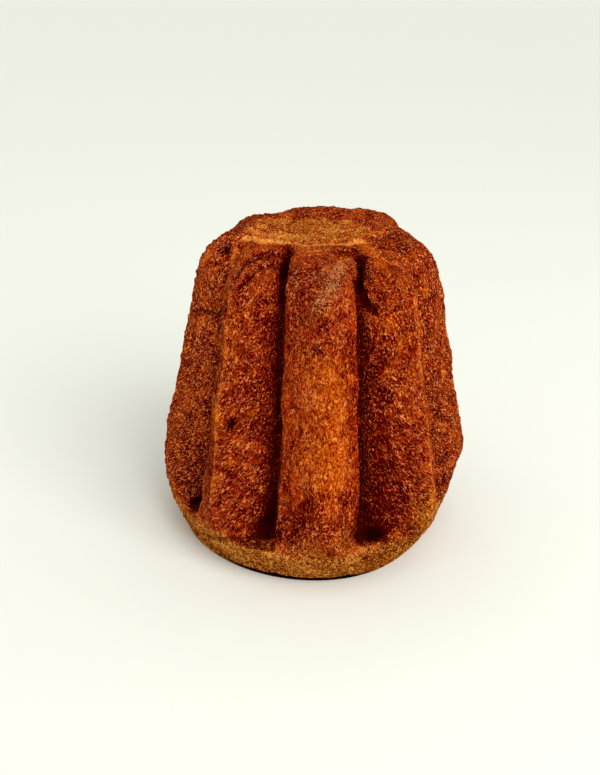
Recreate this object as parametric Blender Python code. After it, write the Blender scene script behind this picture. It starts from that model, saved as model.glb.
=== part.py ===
"""A pandoro: a tall, tapered, eight-ridged star loaf standing on its wide end.

The loaf is one solid. It is lofted upwards from a flat round foot: a smooth band that swelled
over the mould's rim, eight ridges with deep grooves between them, rounded shoulders and a
shallow dished top. Metres, +Z up, origin on the surface it stands on.
"""
import math

import bmesh
import bpy

# Driving dimensions
HEIGHT = 0.1965            # level of the dished top's edge
FOOT_RADIUS = 0.0815       # flat face that the loaf stands on
RIM_RADIUS = 0.1030        # widest place, at the ridges' lower corners
RIM_HEIGHT = 0.0440        # how high those corners stand
TAPER = 0.186              # what a ridge draws in for each metre of height
SHOULDER_HEIGHT = 0.1700   # where the ridges start to round over
SHOULDER_TURN = math.radians(66)   # how far they have turned over at the edge of the top
TOP_RADIUS = 0.0375        # edge of the dished top
DISH_DEPTH = 0.0030        # how far the top sags in the middle

# The star's section
RIDGES = 8
GROOVE_CUT = 0.25          # groove depth as a share of the ridge's radius
TOP_CUT = 0.05             # the same at the edge of the top
SLIT = (0.85, 0.97)        # where the wall of the groove's narrow slit starts and ends
LEDGE = (0.0290, 0.0425)   # heights between which the grooves run out into the band
BAND_BULGE = 0.70          # curve of the band from the foot to the rim
BAND_SPACING = 1.4         # its rings lie closer together towards the foot

# Unevenness of a baked loaf, ridge by ridge, counted anticlockwise from the front one
FRONT_TURN = math.radians(5.0)
RIDGE_TURN = tuple(math.radians(turn) for turn in (0, 0, 0, 2, 0, -2, 0, 1.5))
GROOVE_TURN = tuple(math.radians(turn) for turn in (-2.2, -3, 1.5, 0, -1, 0, 4.5, 1.3))
SLIT_SHARE = (0.26, 0.12, 0.20, 0.22, 0.18, 0.20, 0.12, 0.26)   # part of each groove's depth
EDGE_SOFTNESS = (0.20, 0.07, 0.10, 0.14, 0.10, 0.14, 0.08, 0.06)   # rounding of each edge
REACH_LOW = (1.0, 0.995, 1.035, 1.0, 1.0, 1.0, 0.995, 0.990)
REACH_TOP = (1.0, 0.975, 1.005, 1.10, 1.0, 0.93, 0.925, 0.98)
LEAN = -0.0060             # the top stands this far to one side of the rim
LEAN_CURVE = 1.2
FOOT_SHIFT = (-0.0005, -0.0030)
FOOT_BLEND = (0.020, 0.060)
RIM_TILT = 0.08            # rise of the rim towards the back, per metre
RIM_BLEND = 0.095          # height where that rise has faded out
DRAWN_SIDE = math.radians(62)
DRAWN_WIDTH = 0.55         # radians over which the foot draws in on that side
DRAWN_IN = 0.05
SHOULDER_SWELL = (0.002, 0.005, 0.005, 0.006, 0.005, 0.002, 0.003, 0.002)   # fuller shoulders
TOP_SHIFT = (-0.0040, 0.0030)   # the dished top sits off the loaf's axis
TOP_TILT = 0.055           # rise of the top towards the back, per metre
LUMPS = ((0.004, 0.040, 0.020, 0.0035), (0.050, 0.034, 0.026, 0.0065))   # x, y, radius, height

# Fineness of the loft
STEPS_PER_RIDGE = 16
BAND_RINGS = 13
FLUTE_RINGS = 9
SHOULDER_RINGS = 9
TOP_RINGS = 5

CRUST_COLOUR = (0.27, 0.065, 0.012, 1.0)


def smooth_step(low, high, value):
    """Rise from 0 to 1 between low and high."""
    share = min(1.0, max(0.0, (value - low) / (high - low)))
    return share * share * (3.0 - 2.0 * share)


def profile():
    """List each ring from the foot to the top: height, ridge radius, groove cut, share of swell."""
    rings = []
    for step in range(BAND_RINGS):
        share = (step / BAND_RINGS) ** BAND_SPACING
        height = RIM_HEIGHT * share
        radius = FOOT_RADIUS + (RIM_RADIUS - FOOT_RADIUS) * share ** BAND_BULGE
        rings.append((height, radius, GROOVE_CUT * smooth_step(*LEDGE, height), 0.0))
    for step in range(FLUTE_RINGS):
        height = RIM_HEIGHT + (SHOULDER_HEIGHT - RIM_HEIGHT) * step / FLUTE_RINGS
        rings.append((height, ridge_radius(height), GROOVE_CUT, 0.0))
    shoulder_radius = ridge_radius(SHOULDER_HEIGHT)
    for step in range(SHOULDER_RINGS + 1):
        turn = SHOULDER_TURN * step / SHOULDER_RINGS
        height = SHOULDER_HEIGHT + (HEIGHT - SHOULDER_HEIGHT) * math.sin(turn) / math.sin(SHOULDER_TURN)
        fade = (math.cos(turn) - math.cos(SHOULDER_TURN)) / (1.0 - math.cos(SHOULDER_TURN))
        radius = TOP_RADIUS + (shoulder_radius - TOP_RADIUS) * fade
        cut = TOP_CUT + (GROOVE_CUT - TOP_CUT) * math.sqrt(fade)
        rings.append((height, radius, cut, 4.0 * fade * (1.0 - fade)))
    for step in range(1, TOP_RINGS):
        share = 1.0 - step / TOP_RINGS
        height = HEIGHT - DISH_DEPTH * (1.0 - share * share)
        rings.append((height, TOP_RADIUS * share, TOP_CUT * share, 0.0))
    return rings


def ridge_radius(height):
    """Radius of a ridge's edge on the straight taper above the rim."""
    return RIM_RADIUS - TAPER * (height - RIM_HEIGHT)


def lobe(ridge, across):
    """Shape of one ridge's section: 1 on its edge, 0 in the grooves beside it."""
    offset = min(1.0, abs(across))
    softness = EDGE_SOFTNESS[ridge]
    fall = math.hypot(offset, softness) - softness
    flank = 1.0 - fall / (math.hypot(1.0, softness) - softness)
    slit = SLIT_SHARE[ridge if across > 0.0 else ridge - 1]
    return (1.0 - slit) * flank + slit * (1.0 - smooth_step(*SLIT, offset))


def reach(ridge, height):
    """How far one ridge stands out at a height, as a share of the even star."""
    share = height / HEIGHT
    return REACH_LOW[ridge] + (REACH_TOP[ridge] - REACH_LOW[ridge]) * share


def bearing(ridge, across):
    """Direction of a point from the axis, from the front ridge anticlockwise."""
    half = math.pi / RIDGES
    middle = 2 * ridge * half + RIDGE_TURN[ridge]
    if across < 0.0:
        groove = (2 * ridge - 1) * half + GROOVE_TURN[ridge - 1]
    else:
        groove = (2 * ridge + 1) * half + GROOVE_TURN[ridge]
    return FRONT_TURN + middle + (groove - middle) * abs(across)


def place(ridge, across, height, radius, cut, swell):
    """Place one point of the crust: across runs from -1 to 1 over its ridge."""
    turn = bearing(ridge, across)
    beside = 0.5 * abs(across)
    neighbour = (ridge + (1 if across > 0 else -1)) % RIDGES
    stretch = reach(ridge, height) * (1.0 - beside) + reach(neighbour, height) * beside
    fullness = SHOULDER_SWELL[ridge] * (1.0 - beside) + SHOULDER_SWELL[neighbour] * beside
    low = 1.0 - smooth_step(*FOOT_BLEND, height)
    stretch += (1.0 - stretch) * 0.5 * low
    away = (turn - DRAWN_SIDE + math.pi) % (2.0 * math.pi) - math.pi
    stretch *= 1.0 - DRAWN_IN * math.exp(-(away / DRAWN_WIDTH) ** 2) * low
    length = (radius * stretch + fullness * swell) * (1.0 - cut * (1.0 - lobe(ridge, across)))
    rise = max(0.0, height - RIM_HEIGHT) / (HEIGHT - RIM_HEIGHT)
    high = smooth_step(0.5 * (SHOULDER_HEIGHT + HEIGHT), HEIGHT, height)
    x = length * math.sin(turn) + LEAN * rise ** LEAN_CURVE + FOOT_SHIFT[0] * low + TOP_SHIFT[0] * high
    y = -length * math.cos(turn) + FOOT_SHIFT[1] * low + TOP_SHIFT[1] * high
    return x, y, height + rim_lift(y, height) + top_lift(x, y, height)


def rim_lift(y, height):
    """Slope of the rim: lower in front, higher behind, nothing at the foot or well above it."""
    below = min(1.0, height / RIM_HEIGHT)
    return RIM_TILT * y * below * (1.0 - smooth_step(RIM_HEIGHT, RIM_BLEND, height))


def top_lift(x, y, height):
    """Extra height of the top: a slight tilt, and the lumps on its back and right shoulders."""
    rise = TOP_TILT * y
    for lump_x, lump_y, radius, lump in LUMPS:
        rise += lump * math.exp(-(math.dist((x, y), (lump_x, lump_y)) / radius) ** 2)
    return rise * smooth_step(SHOULDER_HEIGHT, HEIGHT, height)


def spacing(step):
    """Spread the columns over a ridge, closer together towards its grooves."""
    return math.sin(0.5 * math.pi * (2.0 * step / STEPS_PER_RIDGE - 1.0))


def loft_loaf(mesh):
    """Extrude a ring of edges from the foot to the top, ring by ring, and close both ends."""
    shell = bmesh.new()
    columns = RIDGES * STEPS_PER_RIDGE
    bmesh.ops.create_circle(shell, cap_ends=False, segments=columns, radius=FOOT_RADIUS)
    ring = list(shell.verts)
    edges = list(shell.edges)
    steps = [(column // STEPS_PER_RIDGE, spacing(column % STEPS_PER_RIDGE)) for column in range(columns)]
    for level, section in enumerate(profile()):
        if level:
            grown = bmesh.ops.extrude_edge_only(shell, edges=edges)["geom"]
            edges = [item for item in grown if isinstance(item, bmesh.types.BMEdge)]
            ring = [next(edge.other_vert(vert) for edge in vert.link_edges
                         if edge.other_vert(vert) in grown) for vert in ring]
            edges = [edge for edge in edges if all(vert in ring for vert in edge.verts)]
        else:
            foot = ring
        for vert, (ridge, across) in zip(ring, steps):
            vert.co = place(ridge, across, *section)
    shell.faces.new(foot)
    shell.faces.new(ring)
    bmesh.ops.poke(shell, faces=[face for face in shell.faces if len(face.verts) == columns
                                 and face.verts[0].co.z > RIM_HEIGHT])
    bmesh.ops.recalc_face_normals(shell, faces=shell.faces)
    shell.to_mesh(mesh)
    shell.free()


def crust_material():
    """Browned crust, dry and slightly rough."""
    material = bpy.data.materials.new("crust")
    material.use_nodes = True
    shader = material.node_tree.nodes["Principled BSDF"]
    shader.inputs["Base Color"].default_value = CRUST_COLOUR
    shader.inputs["Roughness"].default_value = 0.6
    shader.inputs["Metallic"].default_value = 0.0
    return material


def make_pandoro():
    """Make the loaf as one object."""
    mesh = bpy.data.meshes.new("pandoro")
    loft_loaf(mesh)
    mesh.materials.append(crust_material())
    mesh.shade_smooth()
    mesh.set_sharp_from_angle(angle=math.radians(50))
    loaf = bpy.data.objects.new("pandoro", mesh)
    bpy.context.collection.objects.link(loaf)


for leftover in list(bpy.data.objects):
    bpy.data.objects.remove(leftover)
make_pandoro()
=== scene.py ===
"""Looks of the pandoro: its browned, wrinkled crust, modelled and coloured as one piece.

The crust is extruded ring by ring from a round foot, pressed into an eight-ridged star, smoothed
by subdivision, then creased, pitted and swollen along listed strokes, and given the fine relief of baked
dough.
"""
import math
from types import SimpleNamespace

import bpy
import numpy as np
from mathutils import Matrix, Vector


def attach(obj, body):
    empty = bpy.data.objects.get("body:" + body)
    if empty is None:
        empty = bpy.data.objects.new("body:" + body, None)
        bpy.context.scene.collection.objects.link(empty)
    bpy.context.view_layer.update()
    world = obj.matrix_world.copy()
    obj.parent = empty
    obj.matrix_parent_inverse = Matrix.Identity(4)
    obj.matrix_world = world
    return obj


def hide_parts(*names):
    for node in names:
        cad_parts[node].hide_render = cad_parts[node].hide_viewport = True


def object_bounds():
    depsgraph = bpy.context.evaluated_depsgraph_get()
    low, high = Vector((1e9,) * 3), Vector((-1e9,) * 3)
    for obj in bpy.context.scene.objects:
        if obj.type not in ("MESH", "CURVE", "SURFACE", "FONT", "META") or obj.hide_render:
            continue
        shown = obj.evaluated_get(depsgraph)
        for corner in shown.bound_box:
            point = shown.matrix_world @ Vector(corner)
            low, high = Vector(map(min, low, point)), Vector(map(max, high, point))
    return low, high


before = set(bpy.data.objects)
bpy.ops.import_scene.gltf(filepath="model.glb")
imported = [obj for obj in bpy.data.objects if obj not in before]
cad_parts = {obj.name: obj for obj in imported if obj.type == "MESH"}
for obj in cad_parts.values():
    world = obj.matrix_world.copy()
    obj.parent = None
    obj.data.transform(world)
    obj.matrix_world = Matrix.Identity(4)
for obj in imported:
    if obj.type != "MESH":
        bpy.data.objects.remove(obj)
cad_low, cad_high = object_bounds()
SOLID_WIDTH_MM = 205.2
MM = (cad_high.x - cad_low.x) / SOLID_WIDTH_MM   # a millimetre, taken from the solid's width

# Form of the loaf
HEIGHT = 196.5 * MM            # edge of the dished top
FOOT_RADIUS = 81.5 * MM
RIM_RADIUS = 103.0 * MM        # the ridges' lower corners, where the band ends
RIM_HEIGHT = 44.0 * MM
TAPER = 0.186                  # how far the ridges lean in, for each unit of height
SHOULDER_HEIGHT = 170.0 * MM   # the ridges are straight up to here
SHOULDER_TURN = math.radians(66)
TOP_RADIUS = 37.5 * MM
DISH_DEPTH = 3.0 * MM
BAND_BULGE = 0.70              # below 1 the band swells outwards
TOE_HEIGHT = 3.6 * MM          # the band stands upright up to here
BAND_SPACING = 1.4             # above 1 the band's rings crowd towards the foot

# The star. A row of eight numbers runs over the ridges, anticlockwise from the front one; in a pair,
# the first number is for the flank before the ridge's edge and the second for the one after it.
RIDGES = 8
GROOVE_CUT = 0.25              # depth of the grooves, as a share of the radius
TOP_CUT = 0.05
SLIT = (0.85, 0.97)            # where a flank steepens into its groove's wall
LEDGE = (30.0 * MM, 41.5 * MM) # the grooves deepen over these heights
FRONT_TURN = math.radians(5.0)
RIDGE_TURN = tuple(math.radians(turn) for turn in (0, 0, 0, 2, 0, -2, 0, 1.5))
GROOVE_TURN_LOW = tuple(math.radians(turn) for turn in (-5.6, -3, 1.5, 0, -1, 0, 4.5, 1.3))
GROOVE_TURN_TOP = tuple(math.radians(turn) for turn in (-3, -3, 1.5, 0, -1, 0, 4.5, 1.3))
SLIT_SHARE = (0.26, 0.12, 0.20, 0.22, 0.18, 0.20, 0.12, 0.26)
EDGE_SOFTNESS = (0.16, 0.03, 0.06, 0.10, 0.06, 0.10, 0.04, 0.02)
REACH_LOW = (1.0, 0.995, 1.035, 1.0, 1.0, 1.0, 0.995, 0.990)
REACH_TOP = (1.0, 0.975, 1.005, 1.10, 1.0, 0.93, 0.925, 0.98)

# Unevenness of the whole loaf
LEAN = -6.0 * MM               # sideways, at the top
LEAN_CURVE = 1.2
FOOT_SHIFT = (-0.5 * MM, -3.0 * MM)
FOOT_BLEND = (20.0 * MM, 60.0 * MM)
RIM_TILT = 0.08                # the band is higher behind, by this slope
RIM_BLEND = 95.0 * MM
DRAWN_SIDE = math.radians(62)  # the band is drawn in on this side
DRAWN_WIDTH = 0.55
DRAWN_IN = 0.05
SHOULDER_SWELL = tuple(swell * MM for swell in (2, 5, 5, 6, 5, 2, 3, 2))
TOP_SHIFT = (-4.0 * MM, 3.0 * MM)
TOP_TILT = 0.055
LUMPS = ((4, 40, 20, 3.5), (50, 34, 26, 6.5))   # on the top: x, y, radius and height in millimetres

# Fineness of the cage that the crust is smoothed from
STEPS_PER_RIDGE = 16
COLUMNS = RIDGES * STEPS_PER_RIDGE
COLUMN_SPACING = 1.35          # above 1 the columns crowd towards the grooves
BAND_RINGS = 11
FLUTE_RINGS = 19
SHOULDER_RINGS = 8
TOP_RINGS = 6
SMOOTHING = 2
CREST_CREASE = (0.35, 0.85, 0.75, 0.5, 0.7, 0.5, 0.75, 0.9)
WALL_COLUMNS = (2, STEPS_PER_RIDGE - 2)   # on the front ridge, beside its grooves
WALL_CREASE = 0.7
CREST_RINGS = BAND_RINGS + FLUTE_RINGS + 2   # edges and walls are creased from the band up to this ring
FOOT_INSET = 2.0 * MM

# Strokes that work the crust: a path in millimetres, then depth, width and falloff.
# A negative depth raises the crust.
STROKE_STEP = 0.5
STROKES = (
    # front edge of the dished top, and the fold that runs on from it to the right
    (((-50, -15, 193), (-39, -20, 194), (-28, -23, 194), (-16, -21, 194), (-5, -18, 194), (8, -15, 194),
      (19, -13, 195), (27, -8, 196)), -2.6, 3.5, "SHARP"),
    (((26, -23, 194), (30, -35, 191), (36, -44, 187)), -2.0, 7.0, "SMOOTH"),
    (((32, -16, 193), (43, -12, 191)), 1.5, 4.0, "SHARP"),
    (((31, 0, 197), (42, 8, 196)), -1.2, 4.0, "SHARP"),
    # tops of the grooves beside the front ridge, the right one curving off as a crack
    (((-20, -29, 194), (-21, -37, 192), (-22, -43, 190), (-22, -50, 186), (-23, -55, 180), (-23, -58, 172)),
     4.0, 6.0, "SHARP"),
    (((20, -27, 194), (21, -34, 191)), 1.5, 3.5, "SMOOTH"),
    (((21, -36, 190), (21, -42, 187), (22, -47, 183), (22, -51, 179), (24, -54, 174), (27, -57, 170)),
     5.5, 4.5, "SHARP"),
    (((26, -57, 170), (32, -58, 167)), 3.0, 3.5, "SHARP"),
    (((25, -47, 187), (26, -51, 183)), 2.0, 4.0, "SMOOTH"),
    # folds on the shoulder left of the front ridge
    (((-24, -38, 192), (-33, -37, 191), (-42, -42, 188), (-48, -49, 186), (-51, -57, 181)),
     2.8, 2.8, "SHARP"),
    (((-30, -46, 189), (-38, -50, 187), (-43, -56, 184), (-47, -59, 179)), 2.0, 2.6, "SHARP"),
    (((-32, -33, 192), (-41, -37, 190), (-48, -44, 187)), 1.8, 2.4, "SHARP"),
    (((-34, -43, 190), (-42, -48, 187), (-47, -54, 183)), -1.6, 2.6, "SHARP"),
    (((-49, -44, 187), (-49, -51, 184), (-50, -58, 180)), -1.0, 2.5, "SHARP"),
    (((-53, -19, 190), (-53, -24, 187), (-54, -28, 183), (-55, -34, 179)), -1.5, 4.0, "SHARP"),
    # hole in the left ridge, pits at the grooves' lower ends
    (((-50, -74, 100), (-50, -74, 97)), 7.0, 4.5, "SHARP"),
    (((-73, -57, 34), (-74, -55, 38)), 6.0, 9.0, "SMOOTH"),
    (((92, -16, 34),), 5.0, 5.0, "SHARP"),
    (((89, -30, 30), (85, -42, 27), (81, -48, 24)), 6.0, 16.0, "SMOOTH"),
    (((-26, -80, 36), (-27, -84, 32)), 4.0, 8.0, "SMOOTH"),
    (((-34, -92, 27), (-28, -92, 27), (-23, -93, 27)), 5.0, 5.0, "SHARP"),
    (((32, -86, 33), (38, -82, 33), (43, -82, 33)), 6.0, 7.0, "SHARP"),
    # bulging foot of the left ridge and the fold below it
    (((-68, -68, 34),), -2.0, 9.0, "SMOOTH"),
    (((-64, -79, 42), (-63, -81, 40)), 2.5, 4.0, "SHARP"),
    (((-66, -68, 15), (-58, -77, 19), (-50, -86, 25), (-45, -88, 27), (-37, -90, 29)), 2.4, 4.5, "SHARP"),
    # right part of the band
    (((66, -63, 17), (70, -64, 28)), 2.5, 5.0, "SHARP"),
    (((71, -69, 36), (69, -68, 26)), -4.0, 8.0, "SMOOTH"),
    (((56, -74, 13), (63, -68, 12), (70, -59, 12)), 4.0, 6.0, "SMOOTH"),
    (((60, -73, 20), (65, -69, 18), (70, -62, 18)), 2.5, 3.5, "SHARP"),
    # creases across the front ridge and the left one
    (((3, -83, 144), (8, -83, 144)), 1.2, 3.0, "SHARP"),
    (((-80, -13, 145), (-68, -25, 150), (-60, -31, 151)), 2.2, 3.5, "SHARP"),
    (((-72, -17, 177), (-67, -21, 179), (-61, -26, 180)), 1.8, 3.5, "SHARP"),
)

# Relief of the crust
FOOT_HOLD = 5.0 * MM           # the relief fades out below this height
WANDER_SIZE = 24.0 * MM
WANDER = 1.6 * MM
SWELL_SIZE = 30.0 * MM
SWELL = 1.6 * MM
LUMP_SIZE = 9.0 * MM
LUMP = 0.9 * MM
WRINKLE_SIZE = 5.5 * MM
WRINKLE = 0.35 * MM
OPEN_SKIN = (0.8, 0.92)        # the wrinkles fade on this part of a flank, towards the groove
GROOVE_CALM = 0.7
GRAIN_SIZE = 3.6 * MM
GRAIN = 0.6 * MM

# Direction of the wrinkles, and how many times longer than wide they are
WRINKLE_SLANT = (0.0, 0.75, 0.9, 0.8, 0.8, 0.8, 0.9, 0.75)
WRINKLE_LENGTH = (2.3, 3.6, 1.8, 1.7, 1.7, 1.7, 1.8, 3.6)
TOP_LENGTH = 1.6
BAND_LENGTH = 1.15
BAND_TOP = 34.0 * MM
BAND_BLEND = 4.0 * MM
SLANT_TOP = 112.0 * MM         # above this height they stand upright
SLANT_BLEND = 12.0 * MM
FLANK_RADIUS = 0.88            # middle of a flank, as a share of the ridge's radius

# Marks that the finish follows
HOLLOW_ROUNDS = 10             # hollows are measured against a surface smoothed so many times
HOLLOW_LIMITS = (-0.35, 1.2)
POCKET_ROUNDS = 80
POCKET_LIMITS = (-1.0, 4.0)
TOP_MIDDLE = (-10.0 * MM, 3.0 * MM)
TOP_SPREAD = (38.0 * MM, 24.0 * MM)
OFF_TOP = 3.0                  # stands for any place below the shoulders
CREST_TONE = (0.0, 0.25, 0.2, 0.12, 0.15, 0.12, 0.15, 0.25)
CREST_WIDTH = (0.01, 0.065)    # as shares of the flank
CREST_START = (30.0 * MM, 50.0 * MM)
CREST_END = (170.0 * MM, 188.0 * MM)
VIGOUR = (0.75, 0.87, 1.3, 1.0, 1.0, 1.0, 1.4, 0.87)
# Painted light: a gain on each ridge's colour, largest on the left side, which the lamps light least
PAINTED_SIDE_LIGHT = (1.04, 1.04, 1.14, 1.1, 1.1, 1.1, 1.3, 1.07)
RIDGE_GOLD = (0.0, 0.0, 0.3, 0.2, 0.2, 0.2, 0.3, 0.0)
FLANK_TONE = ((0.16, 0.09), (-0.01, 0.18), (0.1, 0.1), (0.0, 0.0),
              (0.0, 0.0), (0.0, 0.0), (0.04, 0.2), (0.11, 0.03))
FLANK_START = (0.0, 0.25)
# Slits: darker-baked crust with painted shade deep in each groove; GROOVE_SHADE is painted shade on the
# flank beside it
SLIT_TONE = ((0.93, 0.93), (1.0, 0.86), (0.86, 0.93), (0.93, 0.93),
             (0.93, 0.93), (0.93, 0.93), (0.93, 0.84), (0.84, 1.0))
GROOVE_SHADE = ((0.0, 0.0), (0.3, 0.1), (0.1, 0.2), (0.2, 0.2),
                (0.2, 0.2), (0.2, 0.2), (0.2, 0.1), (0.1, 0.35))
SHADE_START = (0.5, 0.95)
OPEN_END = (100.0 * MM, 135.0 * MM)   # below this the groove after the front ridge is open and lighter
OPEN_SLIT = 0.1
OPEN_SHADE = 0.6

# Noises of the finish, and where each further one is read, so that no two are alike
THREAD_SIZE = 2.0 * MM
THREAD_SHARPNESS = 19.0
THREAD_BEND = (2.2, 0.6)       # size and reach of the threads' bends, in sizes of a thread
GRAIN_STRETCH = (1.0, 1.0, 1.1)
SPECK_SIZE = 0.9 * MM
PIT_SIZE = 2.2 * MM
PIT_PLACE = (0.2, 0.5, 0.3)
TINT_SIZE = 2.2 * MM
TINT_PLACE = (0.8, 0.2, 0.5)
DUST_SHEEN_SIZE = 3.5 * MM
DUST_SHEEN_PLACE = (0.4, 0.9, 0.2)
RAGGED_SIZE = 9.0 * MM
RAGGED_DETAIL = 2.0
PATCH_SIZE = 9.0 * MM
PATCH_DETAIL = 2.0
PATCH_PLACE = (0.3, 0.1, 0.7)
CHANGE_SIZE = 13.0 * MM
CHANGE_PLACE = (0.6, 0.4, 0.1)
WIDE_SIZE = 26.0 * MM

# Zones of the finish: where one ends, and how far its border wanders
BAND_EDGE = (22.0 * MM, 31.0 * MM)
BAND_RAGGED = 16.0 * MM
TOP_EDGE = (0.85, 1.1)
TOP_RAGGED = 0.7
FLUTES_START = (26.0 * MM, 38.0 * MM)
FLUTES_END = (174.0 * MM, 192.0 * MM)
SLIT_EDGE = (0.8, 0.95)
SLIT_RAGGED = 0.2
# above this the burnt mark turns near-black: charred crust, and painted shadow in cracks, holes and pits
CHAR_AND_SHADOW_EDGE = (0.65, 1.25)
# painted shadow along the foot's edge, where the loaf meets the floor
FOOT_SHADOW_EDGE = (2.3 * MM, 3.1 * MM)
FOOT_SHADOW_RAGGED = 2.0 * MM
FOOT_SHADOW_LEFT = (-62.0 * MM, -40.0 * MM)
FOOT_SHADOW_RIGHT = (28.0 * MM, 48.0 * MM)

# Strengths in the finish: each says how much one part adds to the grain, the tone or a share of colour
GRAIN_MIDDLE = 0.5
LIVELY = 1.15
LIVELY_CHANGE = 1.6
THREAD_MIDDLE = 0.3
BUNDLE = 0.15
BUNDLE_MIDDLE = 0.35
SPECK = 1.75
SPECK_ON_TOP = 1.2
SPECK_ON_BAND = 1.6
PIT = 0.55
PIT_ON_BAND = 1.1
WIDE = 0.4
PATCH = 0.4
PATCH_ON_TOP = 0.5
# darkening by the burnt mark: burnt crust and painted shade
BURNT_AND_SHADED_DARK = 0.6
TOP_LIGHT = 0.21
BAND_DARK = 0.05
# painted shade in hollows and pockets, and a little painted light on rises
HOLLOW_DARK = 0.25
POCKET_DARK = 0.06
TINT_PATCH = 2.4
TINT_GRAIN = 2.6
GOLD_ON_TOP = 0.9
GOLD_ON_PALE = 2.0
GOLD_ON_CREST = 3.0
TAN_ON_TOP = 0.6
TAN_TINT = 0.7
TAN_ON_PALE = 0.8
UNBURNT_UNSHADED = 1.2                  # gold and tan fade where the burnt-and-shaded mark is more than 0.2
DUST_SHEEN_LOW = 0.3
DUST_SHEEN_CHANGE = 1.6
DUST_SHEEN_TONE = (1.7, 0.3, 0.15)   # share of the tone, less this much, plus this share of the dust and sheen
SLIT_MIX = (0.5, 0.45, 0.12)   # share of the tone, share of the grain, less this much
BUMP = 1.0 * MM
BUMP_THREAD = 0.6
BUMP_FINE = 1.2
ROUGHNESS = 0.75
GRAIN_GLOSS = 0.2

# Soft dabs of tone: a path in millimetres, then the radius and the strength
# Burnt patches, and painted shade in the cracks, creases, folds, pits and the hole, where shade falls
BURNT_AND_SHADED = (
    (((-1, -96, 63), (-9, -95, 40)), 7, 0.45),
    (((-1, -96, 63), (8, -94, 46)), 5, 0.35),
    (((0, -80, 166),), 4, 0.5),
    (((0, -82, 152),), 4, 0.4),
    (((45, 1, 194), (49, -8, 193)), 9, 0.5),
    (((-22, -28, 192), (-21, -34, 189), (-21, -41, 186), (-22, -48, 183)), 5, 0.9),
    (((-34, -87, 30), (-25, -84, 28), (-20, -88, 32)), 4.5, 0.65),
    (((-24, -79, 31), (-23, -75, 36)), 6, 0.5),
    (((30, -81, 29), (36, -78, 27), (44, -78, 29)), 4.5, 0.7),
    (((-22, -62, 136), (-22, -65, 117)), 4, 0.4),
    (((-24, -75, 46), (-24, -77, 36)), 5, 0.4),
    (((11, -31, 194), (17, -31, 194)), 5, 0.45),
    (((21, -35, 190), (21, -41, 187), (21, -45, 182), (21, -49, 177)), 3, 1.1),
    (((20, -48, 176), (23, -51, 172), (26, -55, 169), (31, -58, 167)), 2.5, 0.9),
    (((24, -40, 188), (24, -48, 181)), 5, 0.45),
    (((-58, -21, 187),), 8, 0.5),
    (((-24, -38, 192), (-33, -37, 191), (-42, -42, 188), (-48, -49, 186), (-51, -57, 181)), 1.4, 1.0),
    (((-30, -46, 189), (-38, -50, 187), (-43, -56, 184), (-47, -59, 179)), 1.2, 0.8),
    (((-32, -33, 192), (-41, -37, 190), (-48, -44, 187)), 1.2, 0.8),
    (((-36, -50, 187), (-30, -47, 189), (-26, -46, 188)), 8, 0.3),
    (((-58, -19, 188),), 4, 0.7),
    (((-80, -13, 145), (-68, -25, 150), (-60, -31, 151)), 1.7, 0.6),
    (((-72, -17, 177), (-61, -26, 180)), 1.7, 0.7),
    (((-7, 39, 201), (5, 38, 202)), 6, 0.1),
    (((-10, -58, 187), (-8, -74, 176)), 11, 0.45),
    (((-31, 12, 195), (-18, 2, 194)), 4, 0.35),
    (((34, -65, 115), (37, -69, 88), (39, -72, 51)), 15, 0.3),
    (((-26, -76, 45), (-30, -82, 32)), 9, 0.4),
    (((33, -80, 42), (38, -80, 33)), 8, 0.6),
    (((91, -16, 34),), 2.5, 1.4),
    (((60, -73, 19), (65, -69, 17), (70, -62, 17)), 1.6, 0.9),
    (((44, -74, 75), (50, -76, 45)), 18, 0.3),
    (((-84, -38, 70), (-82, -36, 42)), 20, 0.24),
    (((93, -28, 75), (92, -28, 50)), 20, 0.12),
    (((-75, -51, 30), (-72, -50, 31)), 4, 1.2),
    (((60, -74, 20), (72, -60, 20)), 16, 0.12),
    (((34, -92, 23), (34, -91, 19)), 2.5, 0.8),
    (((0, -101, 24), (12, -100, 21)), 8, 0.2),
    (((-53, -76, 27), (-45, -81, 27), (-36, -86, 28)), 2.0, 0.5),
    (((-58, -77, 18), (-42, -86, 15)), 14, -0.45),
    (((-50, -73, 100), (-50, -72, 97)), 2.6, 1.6),
    (((-34, -92, 27), (-23, -93, 27)), 3, 1.2),
    (((-66, -68, 15), (-50, -86, 25), (-37, -89, 29)), 2, 0.5),
    (((12, -101, 30), (14, -101, 28)), 3, 0.6),
    (((-4, -98, 46), (12, -99, 44)), 12, 0.2),
)
GOLDEN = (
    (((-10, -33, 192), (4, -34, 192), (12, -36, 192)), 7, 0.6),
    (((38, -52, 180), (40, -58, 168)), 7, 0.4),
    (((1, -85, 140), (4, -90, 105), (6, -94, 70)), 16, 0.7),
    (((12, -85, 130), (14, -90, 100), (12, -93, 75)), 9, 0.8),
    (((23, -17, 195), (29, -28, 193), (37, -42, 188)), 7, 1.2),
    (((-45, -28, 189), (-38, -30, 192)), 7, 0.7),
    (((-56, -69, 104), (-55, -72, 90)), 5, 0.8),
    (((44, -56, 160), (52, -60, 120)), 13, 0.3),
    (((-49, -62, 158), (-54, -66, 130)), 8, 0.4),
    (((-15, -82, 150), (-17, -88, 110), (-19, -95, 60)), 9, -0.3),
)
PALE = (
    (((-47, -18, 195), (-37, -23, 196), (-23, -24, 196), (-11, -25, 195), (-3, -22, 194), (5, -20, 195),
      (14, -20, 195), (23, -14, 196)), 1.8, 0.95),
    (((-53, -18, 191), (-53, -25, 187), (-55, -34, 179)), 1.6, 0.35),
    (((31, 0, 197), (42, 8, 196)), 2.5, 0.3),
    (((32, -91, 27), (37, -89, 27), (43, -86, 27)), 1.8, 0.4),
    (((-35, -93, 24), (-28, -94, 24), (-19, -97, 25)), 1.8, 0.3),
    (((-67, -69, 44), (-70, -66, 35), (-68, -70, 24)), 1.6, 0.3),
)
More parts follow.
